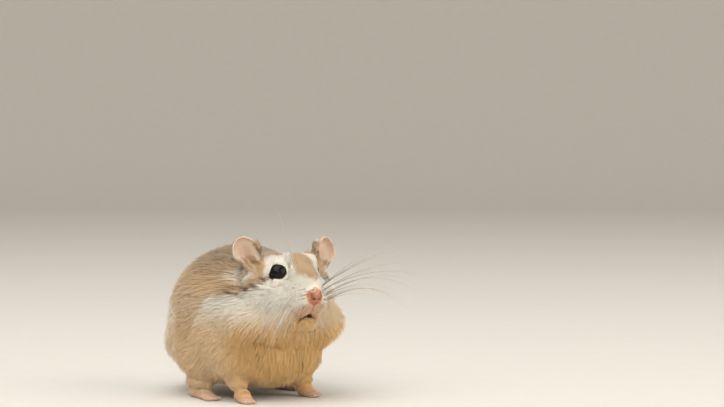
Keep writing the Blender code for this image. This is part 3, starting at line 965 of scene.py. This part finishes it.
def meshFrom(name, points, triangles):
    mesh = bpy.data.meshes.new(name)
    mesh.vertices.add(len(points))
    mesh.vertices.foreach_set("co", (points * mm).ravel())
    mesh.loops.add(triangles.size)
    mesh.loops.foreach_set("vertex_index", triangles.ravel())
    mesh.polygons.add(len(triangles))
    mesh.polygons.foreach_set("loop_start", np.arange(len(triangles)) * 3)
    mesh.update(calc_edges=True)
    mesh.shade_smooth()
    return mesh


# Roots of the tufts, scattered over the skin

# lengths, widths and rises are drawn between or round the values given; a guard hair stands higher
# and is thinner
coatLook = dict(
    layers=5.7, narrowest=0.035, widening=0.011, lengths=(0.8, 1.15), widths=(0.8, 1.2), onEdge=0.36,
    rise=(0.98, 0.09), flattest=0.14, steepest=0.8, astray=0.10, trimmed=0.35, markedAt=0.55,
    guards=0.03, guardRise=0.07, guardWidth=0.6,
    clumpShare=0.08, clumpReach=1.3, clumpPull=0.24, clumpPulls=(0.4, 1.0),
    corners=3, patch=0.003, quickShare=0.35,
)


def thicknessOf(length):
    return coatLook["narrowest"] + coatLook["widening"] * length


def scatterRoots(mesh):
    mesh.calc_loop_triangles()
    triangles = np.empty(len(mesh.loop_triangles) * 3, int)
    mesh.loop_triangles.foreach_get("vertices", triangles)
    triangles = triangles.reshape(-1, 3)
    points, normals = skinPoints, normalsOf(mesh)
    corners = points[triangles]
    edges = corners[:, 1:] - corners[:, :1]
    area = np.linalg.norm(np.cross(edges[:, 0], edges[:, 1]), axis=1) / 2
    length = coatFields(points)[1] * shortening(plainPoints, skinFar)
    wide = 2 * thicknessOf(length)
    cover = 1 - ease(0.25, 0.75, skinBare)
    cover = cover * (1 - 0.80 * ease(0.1, 0.35, skinFlush) * (skinFar["foot"] > 2))
    # more round the eyes, where hair is short, and less on the underside
    cover = cover * blend(1.0, 1.6, ease(1.6, 0.4, skinFar["eye"]))
    cover = cover * blend(1.0, 0.3, ease(-0.2, -0.6, normals[:, 2]) * ease(9.0, 6.0, points[:, 2]))
    density = coatLook["layers"] * cover / (0.5 * length * wide)
    density = density[triangles].mean(axis=1)
    amount = np.cumsum(area * density)
    count = int(amount[-1])
    picked = np.searchsorted(amount, (np.arange(count) + draws.random(count)) * (amount[-1] / count))
    picked = np.minimum(picked, len(triangles) - 1)
    first, second = np.sqrt(draws.random(count)), draws.random(count)
    shares = np.stack((1 - first, first * (1 - second), first * second), axis=1)[:, :, None]
    chosen = triangles[picked]
    roots = (points[chosen] * shares).sum(axis=1)
    ways = unit((normals[chosen] * shares).sum(axis=1))
    flushed = np.where(skinFar["foot"] > 2, skinFlush, 0.5 * skinFlush)
    return roots, ways, (flushed[chosen] * shares[:, :, 0]).sum(axis=1)


def shortening(points, far):
    # hair is shorter beside the eyes, nose, ears, paws and tail, and on the ears' furred edges
    return blend(lessened(1.0, lengthNear, far), coatLook["onEdge"], furredEdge(points, far["ear"]))


def coatLie(points, normals, far):
    # the way that the hair lies: back from the nose, along the body, and down the chest and legs
    head = inHead(points)
    _, y, z = head.T
    fromNose = unit(head - np.array((0.0, -9.5, -2.6)))
    fromNose = fromNose + ease(-3.0, -9.0, z)[:, None] * np.array((0.0, 0.1, -0.7))
    onHead = unit(fromNose) @ headAxes
    aside = np.clip(points[:, 0] / 16, -1, 1)
    low = ease(22.0, 8.0, points[:, 2])
    ones = np.ones(len(points))
    onBody = np.stack((0.15 * aside, ones, -0.2 - 0.75 * np.abs(aside) * (0.5 + low)), axis=1)
    down = np.stack((0.25 * aside, 0.15 * ones, -ones), axis=1)
    chest = ease(-0.1, -0.7, normals[:, 1]) * ease(24.0, 16.0, points[:, 2])
    facing = most(chest, 0.9 * ease(0.2, 0.75, normals[:, 1]))
    onBody = blend(unit(onBody), unit(down), facing[:, None])
    share = ease(12.0, 5.0, y) * ease(-17.0, -12.0, z)
    lie = blend(onBody, onHead, share[:, None])
    onLeg = ease(1.4, 0.2, far["leg"]) * ease(13.0, 9.0, points[:, 2])
    lie = blend(lie, unit(down), 0.8 * onLeg[:, None])
    for side in sides:
        fromEye = unit(points - eyeAt[side])
        eyeNear = ease(2.6, 0.3, fromEyeball(points, side))
        outwards = unit(fromEye - normals * (fromEye * normals).sum(axis=1, keepdims=True))
        behind = ease(-1.6, 0.2, y - inHead(eyeAt[side])[1])
        lie = blend(lie, outwards, ((0.55 + 0.3 * behind) * eyeNear)[:, None])
    for side in sides:
        edge = furredEdge(points, far["ear"]) * (points[:, 0] * sides[side] > 0)
        upEar = (np.array((0.25 * sides[side], 0.2, 1.0)) @ earTurn(side).T) @ headAxes
        lie = blend(lie, upEar, edge[:, None])
    lie = unit(lie - normals * (lie * normals).sum(axis=1, keepdims=True))
    astray = 0.16 * ripple(points, 5.0, 11) + 0.12 * ripple(points, 2.0, 12)
    astray = astray + draws.normal(0, coatLook["astray"], len(points))
    return unit(lie + np.cross(normals, lie) * astray[:, None])


def nearestOf(points, seeds):
    # the seed nearest each point, and how far away it is
    tree = KDTree(len(seeds))
    for index, seed in enumerate(seeds.tolist()):
        tree.insert(seed, index)
    tree.balance()
    found = [tree.find(point) for point in points.tolist()]
    return np.array([index for _, index, _ in found]), np.array([away for _, _, away in found])


def overEye(points):
    # whether each point lies before the open part of an eye
    over = np.full(len(points), False)
    for side in sides:
        away, share, _ = openingAt(points, side)
        over |= (share < 0.98) & (away < eyeRadius + 1.5)
    return over


def growCoat():
    # every tuft's root, tip and looks; tufts lean together in clumps, and none crosses an eye
    look = coatLook
    roots, normals, flush = scatterRoots(skinMesh)
    count = len(roots)
    far = features(roots)
    depth = coatDepth(roots, far)
    length = coatFields(roots)[1] * shortening(roots, far) * draws.uniform(*look["lengths"], count)
    lie = coatLie(roots, normals, far)
    guard = draws.random(count) < look["guards"]
    rise = depth * draws.normal(*look["rise"], count)
    rise = np.clip(rise, look["flattest"] * length, look["steepest"] * length)
    rise = rise + look["guardRise"] * length * guard * ease(10.0, 16.0, roots[:, 2])
    run = np.sqrt(np.maximum(length**2 - rise**2, 0.05))
    tips = normals * rise[:, None] + lie * run[:, None]
    seeds = draws.random(count) < look["clumpShare"]
    leader, away = nearestOf(roots, roots[seeds])
    target = (roots[seeds] + tips[seeds])[leader] - roots
    pull = look["clumpPull"] * ease(look["clumpReach"], 0.3, away) * draws.uniform(*look["clumpPulls"], count)
    pull = pull * ease(0.8, 2.0, length)
    tips = blend(tips, target, pull[:, None])
    trimmed = np.where(overEye(roots + 0.7 * tips) | overEye(roots + tips), look["trimmed"], 1.0)
    tips, length = tips * trimmed[:, None], length * trimmed
    clear = ~overEye(roots + tips)
    tone = draws.random(int(seeds.sum()))[leader]
    chance = draws.random(count)
    marks = marksAt(roots + look["markedAt"] * tips)
    edge = furredEdge(roots, far["ear"])
    onEar = ease(0.6, 0.2, far["ear"]) * (1 - edge) * (1 - earBack(roots, normals, far["ear"]))
    marks = marks * (1 - onEar[:, None] * (1, 1, 1, 0.5))
    marks[:, 0] = most(marks[:, 0], edge)
    marks[:, 1] = most(marks[:, 1], 0.7 * edge * (draws.random(count) < 0.5))
    thick = thicknessOf(length)
    thick = np.where(guard, look["guardWidth"] * thick, thick) * draws.uniform(*look["widths"], count)
    coat = dict(
        roots=roots, normals=normals, tips=tips, length=length, thick=thick, marks=marks,
        chance=chance, tone=tone, flush=np.clip(1.8 * flush, 0, 1),
    )
    print("tufts", int(clear.sum()))
    return {key: values[clear] for key, values in coat.items()}


def coatRegions(roots):
    # the coat's pieces, each small enough for one mesh
    head = inHead(roots)
    left = np.where(roots[:, 0] > 0, "left", "right")
    headLeftward = np.where(head[:, 0] > 0, "left", "right")
    onHead = (head[:, 1] < 9.5) & (head[:, 2] > -15)
    region = np.full(len(roots), "coat_flank_", dtype=object)
    region[roots[:, 2] > 25] = "coat_back_"
    region[roots[:, 1] > 14] = "coat_rump_"
    region[roots[:, 2] < 9] = "coat_belly_"
    region[(roots[:, 1] < -10) & (roots[:, 2] < 24)] = "coat_chest_"
    region[onHead] = "coat_cheek_"
    region[onHead & (head[:, 2] > -1.5)] = "coat_crown_"
    region[onHead & (head[:, 1] < -3.4)] = "coat_face_"
    return region + np.where(onHead, headLeftward, left)


def unwrapped(roots):
    # a flat layout of a piece of the body, by each root's way out from the piece's middle
    centre = roots.mean(axis=0)
    ways = unit(roots - centre * (0.35, 1, 1))
    axis = unit(ways.mean(axis=0))
    first = unit(np.cross(axis, (0.0, 0.3, 1.0)))
    second = np.cross(axis, first)
    angle = np.arccos(np.clip(ways @ axis, -1, 1))
    around = np.arctan2(ways @ second, ways @ first)
    flat = np.stack((np.cos(around), np.sin(around)), axis=1) * angle[:, None]
    low, high = flat.min(axis=0), flat.max(axis=0)
    return 0.02 + 0.96 * (flat - low) / (high - low)


def makeCoatPiece(name, coat, chosen):
    part = {key: values[chosen] for key, values in coat.items()}
    roots, normals, tips = part["roots"], part["normals"], part["tips"]
    # short or hidden hair has one ring of corners fewer
    simple = name.startswith(("coat_crown_", "coat_belly_"))
    steps = np.array((0.0, 0.5, 1.0) if simple else (0.0, 0.36, 0.72, 1.0))
    rise = (tips * normals).sum(axis=1, keepdims=True)
    flat = tips - normals * rise
    paths = [roots + normals * rise * (1 - (1 - step) ** 2.0) + flat * step**1.25 for step in steps]
    paths = np.stack(paths, axis=1)
    paths[:, 0] -= normals * np.minimum(0.1, 0.05 * part["length"])[:, None]
    taper = np.array((1.0, 0.8, 0.0) if simple else (1.0, 0.95, 0.6, 0.0))
    halfWidths = part["thick"][:, None] * taper
    points, triangles, patches, outward = strands(paths, halfWidths, normals, coatLook["corners"])
    count, each = points.shape[:2]
    mesh = meshFrom(name, points.reshape(-1, 3), triangles.reshape(-1, 3))
    strand = np.zeros((count, each, 4))
    strand[:, :, 0] = np.append(np.repeat(steps[:-1], coatLook["corners"]), 1.0)
    for index, key in enumerate(("chance", "tone", "flush"), 1):
        strand[:, :, index] = part[key][:, None]
    addAttribute(mesh, "strand", strand.reshape(-1, 4))
    addAttribute(mesh, "marks", np.repeat(part["marks"], each, axis=0))
    patch = unwrapped(roots)[:, None, None, :] + (patches[None] - 0.5) * coatLook["patch"]
    layer = mesh.uv_layers.new(name="OFBake")
    layer.data.foreach_set("uv", patch.ravel())
    shading = unit(normals[:, None, :] + 0.3 * unit(outward)).reshape(-1, 3)
    mesh.normals_split_custom_set_from_vertices(shading)
    addPiece(name, mesh, coatFinish)
    return len(mesh.polygons)


coat = growCoat()
regions = coatRegions(coat["roots"])
for region in sorted(set(regions)):
    print(region, makeCoatPiece(region, coat, regions == region))


# Whiskers, brow hairs and the short dark hairs of the pads

whiskerLook = dict(
    rowsAt=(-3.2, -4.5, -5.8, -7.1), columns=5, padAt=(2.9, -6.9), spacing=0.8,
    out=0.90, ahead=dict(left=(-0.50, -0.33), right=(-0.80, -0.50)),
    up=dict(left=(0.70, 0.58), right=(0.05, -0.45)), sag=dict(left=(0.30, 0.66), right=(0.35, 0.45)),
    shortest=10.0, longest=dict(left=35.0, right=20.0), thick=dict(left=0.066, right=0.030),
    astray=0.045, lengths=(0.88, 1.0), sags=(0.85, 1.15), steps=14, browThick=0.045,
    padHairs=3, padThick=0.085, padLong=(0.8, 1.4), padSpread=0.30,
)
# each brow hair's start and first way on the head, its length and how it bends
browHairs = dict(
    right=(
        ((-2.6, -2.6, 1.6), (-0.18, 0.10, 0.97), 17.5, (-0.07, 0.05, 0.0)),
        ((-4.9, -1.0, 4.0), (-0.45, 0.05, 0.9), 7.5, (-0.1, 0.1, -0.1)),
        ((-3.4, -2.2, 3.4), (0.1, -0.2, 0.95), 6.0, (0.1, 0.1, -0.1)),
    ),
    left=(
        ((2.6, -0.6, 4.0), (0.0, -0.1, 1.0), 7.5, (0.52, -0.15, -0.25)),
        ((4.6, -1.4, 4.0), (0.35, -0.25, 0.9), 7.0, (0.2, 0.2, -0.1)),
    ),
)


def hairPath(start, way, length, bend):
    # a hair that starts along its way and bends towards its tip
    share = np.linspace(0, 1, whiskerLook["steps"])[:, None]
    return start + length * (unit(np.array(way, float)) * share + np.array(bend) @ headAxes * share**2)


def onSkin(local, tree):
    # the skin's nearest place to a point on the head, and the way out of it
    place, normal, _, _ = tree.find_nearest(Vector(fromHead(local)))
    return np.array(place), np.array(normal)


def makeRods(name, paths, thick, taper, finish, up, corners):
    # round strands, one for each path
    paths = np.array(paths)
    count, rings = paths.shape[:2]
    halfWidths = np.broadcast_to(thick, (count,))[:, None] * taper
    ups = np.tile(up, (count, 1))
    points, triangles, _, _ = strands(paths, halfWidths, ups, corners, 1.0)
    mesh = meshFrom(name, points.reshape(-1, 3), triangles.reshape(-1, 3))
    along = np.append(np.repeat(np.linspace(0, 1, rings)[:-1], corners), 1.0)
    addAttribute(mesh, "strand", np.tile(along, count)[:, None] * np.ones(3))
    addPiece(name, mesh, finish)


def makeHairs(name, paths, thick, finish):
    taper = np.linspace(1, 0, whiskerLook["steps"]) ** 0.45
    makeRods(name, paths, thick, taper, finish, (0.12, 0.2, 1.0), 4)


def makeWhiskerFinish(name, root, tip):
    finish = Finish(name, Roughness=0.4, Specular_IOR_Level=0.4)
    along, _, _ = finish.parts(finish.attribute("strand", "Color"))
    tint = finish.noise(2.5, 2.0)
    colour = finish.mix(finish.ease(0.05, 0.6, along), root, tip)
    finish.set(Base_Color=finish.mix(tint * 0.3, colour, (0.75, 0.70, 0.62)))
    return finish.material


def makeWhiskers():
    look = whiskerLook
    darker = makeWhiskerFinish("whisker_dark", (0.045, 0.035, 0.03), (0.26, 0.22, 0.18))
    shades = dict(
        left=makeWhiskerFinish("whisker_tawny", (0.10, 0.08, 0.06), (0.46, 0.39, 0.31)),
        right=makeWhiskerFinish("whisker_pale", (0.50, 0.43, 0.34), (0.80, 0.76, 0.69)),
    )
    tree = BVHTree.FromPolygons([Vector(point) for point in skinPoints],
                                [list(face.vertices) for face in skinMesh.polygons])
    for side in sides:
        paths, thick, stubs = [], [], []
        for row, up in enumerate(look["rowsAt"]):
            low = row / (len(look["rowsAt"]) - 1)
            for column in range(look["columns"]):
                share = column / (look["columns"] - 1)
                back = look["spacing"] * (column - 0.5 * (look["columns"] - 1) + 0.3 * (row % 2))
                at = mirrored((look["padAt"][0] + 0.25 * column, look["padAt"][1] + back, up), side)
                start, normal = onSkin(at, tree)
                ahead, lift = blend(*look["ahead"][side], share), blend(*look["up"][side], low)
                way = mirrored(unit(np.array((look["out"], ahead, lift))), side)
                way = way + draws.normal(0, look["astray"], 3)
                long = blend(look["shortest"], look["longest"][side], share ** 0.8) * (1 - 0.18 * low)
                long = long * draws.uniform(*look["lengths"])
                sag = blend(*look["sag"][side], low) * (0.35 + 0.65 * share) * draws.uniform(*look["sags"])
                paths.append(hairPath(start - 0.3 * normal, way @ headAxes, long, (0, 0.05, -sag)))
                thick.append(look["thick"][side] * (0.7 + 0.3 * share))
                for _ in range(look["padHairs"]):
                    nearby = at + draws.normal(0, look["padSpread"], 3) * (0, 1, 1)
                    root, out = onSkin(nearby, tree)
                    lean = unit(0.9 * out + np.array((0.3 * sides[side], 0.75, -0.35)) @ headAxes)
                    stubs.append(hairPath(root, lean, draws.uniform(*look["padLong"]), (0, 0.1, -0.1)))
        makeHairs("whiskers_" + side, paths, thick, shades[side])
        makeHairs("pad_hairs_" + side, stubs, look["padThick"], darker)
        brows = []
        for at, way, long, bend in browHairs[side]:
            start, normal = onSkin(at, tree)
            brows.append(hairPath(start - 0.2 * normal, np.array(way) @ headAxes, long, bend))
        makeHairs("brow_hairs_" + side, brows, look["browThick"], shades["left"])


makeWhiskers()
print("whiskers made")


# Claws

clawLook = dict(
    fore=dict(toes=4, spread=24.0), hind=dict(toes=5, spread=27.0),
    turn=12.0, long=1.4, thick=0.21, rootUp=0.62, arch=0.25, droop=0.45, steps=6,
)


def toeTips(node, toes, spread, side):
    # the tip of each toe of the CAD's foot, farthest out along its own way
    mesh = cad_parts[node].data
    points = np.array([vertex.co / mm for vertex in mesh.vertices])
    middle = points.mean(axis=0)
    found = []
    for index in range(toes):
        turn = math.radians(spread * (2 * index / (toes - 1) - 1) + clawLook["turn"] * sides[side])
        way = np.array((math.sin(turn), -math.cos(turn), 0))
        offsets = points - middle
        reach = offsets @ way
        astray = np.linalg.norm((offsets - reach[:, None] * way)[:, :2], axis=1)
        best = np.argmax(reach - 1.5 * astray)
        found.append((points[best], way))
    return found


def makeClaws():
    finish = Finish("claw", Roughness=0.35, Specular_IOR_Level=0.5)
    along, _, _ = finish.parts(finish.attribute("strand", "Color"))
    ring = finish.noise(0.3, 2.0)
    colour = finish.mix(finish.ease(0.1, 0.8, along), (0.58, 0.36, 0.27), (0.66, 0.56, 0.43))
    finish.set(Base_Color=finish.mix(ring * 0.3, colour, (0.50, 0.33, 0.25)))
    look = clawLook
    share = np.linspace(0, 1, look["steps"])[:, None]
    drop = np.array((0, 0, 1.0)) * (look["arch"] * share * (1 - share) * 4 - look["droop"] * share**2)
    for kind in ("fore", "hind"):
        for side in sides:
            paths = []
            for tip, way in toeTips(kind + "foot_" + side, **look[kind], side=side):
                root = np.array((tip[0], tip[1], look["rootUp"])) - 0.9 * way
                paths.append(root + look["long"] * (way * share) + drop)
            taper = 1 - np.linspace(0, 1, look["steps"]) ** 1.6
            name = "claws_" + kind + "_" + side
            makeRods(name, paths, look["thick"], taper, finish.material, (0, 0, 1.0), 7)


makeClaws()
print("claws made")


# Floor and light

def makeFloor():
    # a round floor that curves up into a wall all round
    finish = Finish("floor", Roughness=0.85)
    grain = finish.noise(6.0, 3.0)
    finish.set(Base_Color=finish.mix(grain, (0.74, 0.71, 0.66), (0.78, 0.75, 0.70)))
    bm = bmesh.new()
    flat, bend, wall, steps = 1.1, 0.6, 1.4, 16
    profile = [(0, 0), (0.15, 0), (0.5, 0)]
    for step in range(steps + 1):
        angle = 0.5 * math.pi * step / steps
        profile.append((flat + bend * math.sin(angle), bend * (1 - math.cos(angle))))
    profile.append((flat + bend, wall))
    line = [bm.verts.new((out, 0, up)) for out, up in profile]
    edges = [bm.edges.new(pair) for pair in zip(line, line[1:])]
    around = dict(axis=(0, 0, 1), cent=(0, 0, 0), angle=2 * math.pi, steps=64)
    bmesh.ops.spin(bm, geom=line + edges, use_merge=True, **around)
    bmesh.ops.remove_doubles(bm, verts=bm.verts, dist=1e-6)
    bmesh.ops.recalc_face_normals(bm, faces=bm.faces)
    mesh = meshOf("floor", bm)
    mesh.shade_smooth()
    mesh.materials.append(finish.material)
    placed("floor", mesh)


def addLight(name, azimuth, elevation, distance, size, power, colour):
    turn, lift = math.radians(azimuth), math.radians(elevation)
    way = Vector((math.sin(turn) * math.cos(lift), -math.cos(turn) * math.cos(lift), math.sin(lift)))
    light = bpy.data.lights.new(name, "AREA")
    light.shape = "SQUARE"
    light.size, light.energy, light.color = size, power, colour
    lamp = placed(name, light)
    lamp.location = way * distance + Vector((0, 0, 0.02))
    lamp.rotation_mode = "QUATERNION"
    lamp.rotation_quaternion = way.to_track_quat("Z", "Y")


makeFloor()
addLight("key", -80, 50, 0.8, 0.7, 3.9, (1.0, 0.975, 0.93))
addLight("fill", 24, 22, 0.9, 0.8, 4.4, (1.0, 0.96, 0.91))
addLight("top", -60, 82, 0.9, 0.7, 2.7, (0.96, 0.98, 1.0))
addLight("front", -40, 22, 0.6, 0.10, 0.40, (0.93, 0.97, 1.0))
world = bpy.data.worlds.new("studio")
world.use_nodes = True
world.node_tree.nodes["Background"].inputs["Color"].default_value = (0.80, 0.76, 0.70, 1)
world.node_tree.nodes["Background"].inputs["Strength"].default_value = 0.55
bpy.context.scene.world = world
bpy.context.scene.view_settings.view_transform = "Standard"
